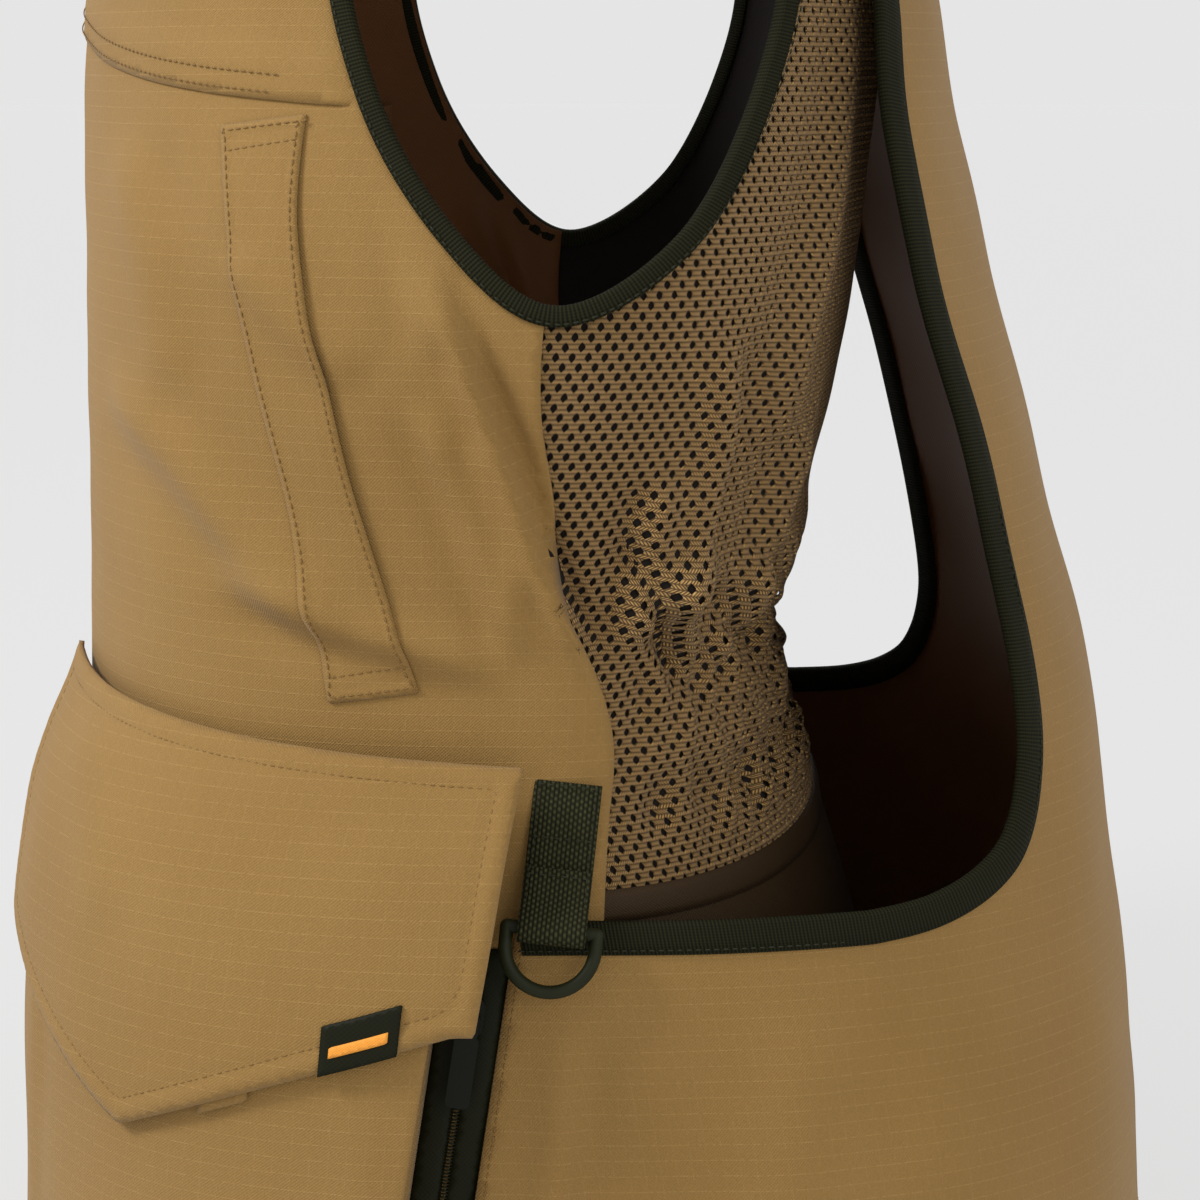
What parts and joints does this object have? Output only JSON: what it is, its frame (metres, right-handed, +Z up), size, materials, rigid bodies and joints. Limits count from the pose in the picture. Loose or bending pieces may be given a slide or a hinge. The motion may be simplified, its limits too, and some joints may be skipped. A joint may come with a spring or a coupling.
{
  "type": "fishing vest",
  "caption": "Sleeveless field and fishing vest with mesh back, large rear bag open at both sides, flapped bellows pockets, zips and D-rings.",
  "frame": {"origin": "where a hook bears inside the top of the hanger loop at the back of the neck", "axes": "+Z up, -Y the wearer's front, +X the wearer's left"},
  "size_m": [0.5614, 0.473, 0.69],
  "materials": {
    "ripstop_tan": "tan cotton ripstop",
    "mesh_brown": "brown knitted air mesh",
    "twill_tan": "brown fine twill",
    "lining_brown": "dark brown coated lining",
    "elastic_brown": "woven elastic",
    "grosgrain_green": "dark green ribbed grosgrain",
    "zip_tape_green": "dark green woven tape",
    "zip_plastic": "dark green moulded plastic",
    "zip_slider": "dark painted die casting",
    "ring_plastic": "satin dark green acetal"
  },
  "bodies": {
    "root": {"armhole_binding_left": "grosgrain_green", "armhole_binding_right": "grosgrain_green", "back_yoke": "ripstop_tan", "back_yoke_lining": "lining_brown", "bag_floor": "lining_brown", "bag_lining": "lining_brown", "bag_outer_panel": "ripstop_tan", "cargo_pocket_left": "ripstop_tan", "cargo_pocket_right": "ripstop_tan", "front_lining_left": "lining_brown", "front_lining_right": "lining_brown", "front_panel_left": "ripstop_tan", "front_panel_right": "ripstop_tan", "front_yoke_left": "ripstop_tan", "front_yoke_right": "ripstop_tan", "front_zip_tape_left": "zip_tape_green", "front_zip_tape_right": "zip_tape_green", "front_zip_teeth_left": "zip_plastic", "front_zip_teeth_right": "zip_plastic", "hand_pocket_bag_left": "lining_brown", "hand_pocket_bag_right": "lining_brown", "hand_pocket_welt_left": "ripstop_tan", "hand_pocket_welt_right": "ripstop_tan", "hanger_loop": "grosgrain_green", "inner_bag_wall": "twill_tan", "mesh_back_panel": "mesh_brown", "neck_binding": "grosgrain_green", "opening_binding_left": "grosgrain_green", "opening_binding_right": "grosgrain_green", "side_zip_coil_left": "zip_plastic", "side_zip_coil_right": "zip_plastic", "side_zip_tapes_left": "zip_tape_green", "side_zip_tapes_right": "zip_tape_green", "waist_elastic": "elastic_brown", "webbing_strap_left": "grosgrain_green", "webbing_strap_right": "grosgrain_green"},
    "flap_left": {"cargo_flap_left": "ripstop_tan", "flap_pull_tab_left": "ripstop_tan", "name_tab": "zip_tape_green"},
    "ring_left": {"d_ring_left": "ring_plastic"},
    "side_slider_left": {"side_zip_slider_left": "zip_slider"},
    "side_pull_left": {"side_zip_pull_left": "zip_slider"},
    "flap_right": {"cargo_flap_right": "ripstop_tan", "flap_pull_tab_right": "ripstop_tan"},
    "ring_right": {"d_ring_right": "ring_plastic"},
    "side_slider_right": {"side_zip_slider_right": "zip_slider"},
    "side_pull_right": {"side_zip_pull_right": "zip_slider"},
    "front_slider": {"front_zip_slider": "zip_slider"},
    "front_pull": {"front_zip_pull": "zip_slider"}
  },
  "joints": [
    {"name": "flap_left_lift", "type": "hinge", "parent": "root", "child": "flap_left", "pos_m": [0.20601, -0.25065, -0.40688], "axis": [-0.6719, -0.7357, 0.085], "range_deg": [0, 120]},
    {"name": "ring_left_swing", "type": "hinge", "parent": "root", "child": "ring_left", "pos_m": [0.25162, -0.11733, -0.47568], "axis": [-0.0292, -0.9939, 0.1067], "range_deg": [0, 140]},
    {"name": "side_zip_left_run", "type": "slide", "parent": "root", "child": "side_slider_left", "axis": [0.059, -0.1499, -0.9869], "range_m": [0, 0.115]},
    {"name": "side_pull_left_swing", "type": "hinge", "parent": "side_slider_left", "child": "side_pull_left", "pos_m": [0.25208, -0.14748, -0.509], "axis": [-0.0089, -0.9887, 0.1496], "range_deg": [0, 75]},
    {"name": "flap_right_lift", "type": "hinge", "parent": "root", "child": "flap_right", "pos_m": [-0.20601, -0.25065, -0.40688], "axis": [-0.6719, 0.7357, -0.085], "range_deg": [0, 120]},
    {"name": "ring_right_swing", "type": "hinge", "parent": "root", "child": "ring_right", "pos_m": [-0.25162, -0.11733, -0.47568], "axis": [-0.0292, 0.9939, -0.1067], "range_deg": [0, 140]},
    {"name": "side_zip_right_run", "type": "slide", "parent": "root", "child": "side_slider_right", "axis": [-0.059, -0.1499, -0.9869], "range_m": [0, 0.115]},
    {"name": "side_pull_right_swing", "type": "hinge", "parent": "side_slider_right", "child": "side_pull_right", "pos_m": [-0.25208, -0.14748, -0.509], "axis": [-0.0089, 0.9887, -0.1496], "range_deg": [0, 75]},
    {"name": "front_zip_run", "type": "slide", "parent": "root", "child": "front_slider", "axis": [0, -0.0121, -0.9999], "range_m": [0, 0.395]},
    {"name": "front_pull_swing", "type": "hinge", "parent": "front_slider", "child": "front_pull", "pos_m": [0, -0.31747, -0.22758], "axis": [-1, 0, 0], "range_deg": [0, 165]}
  ]
}
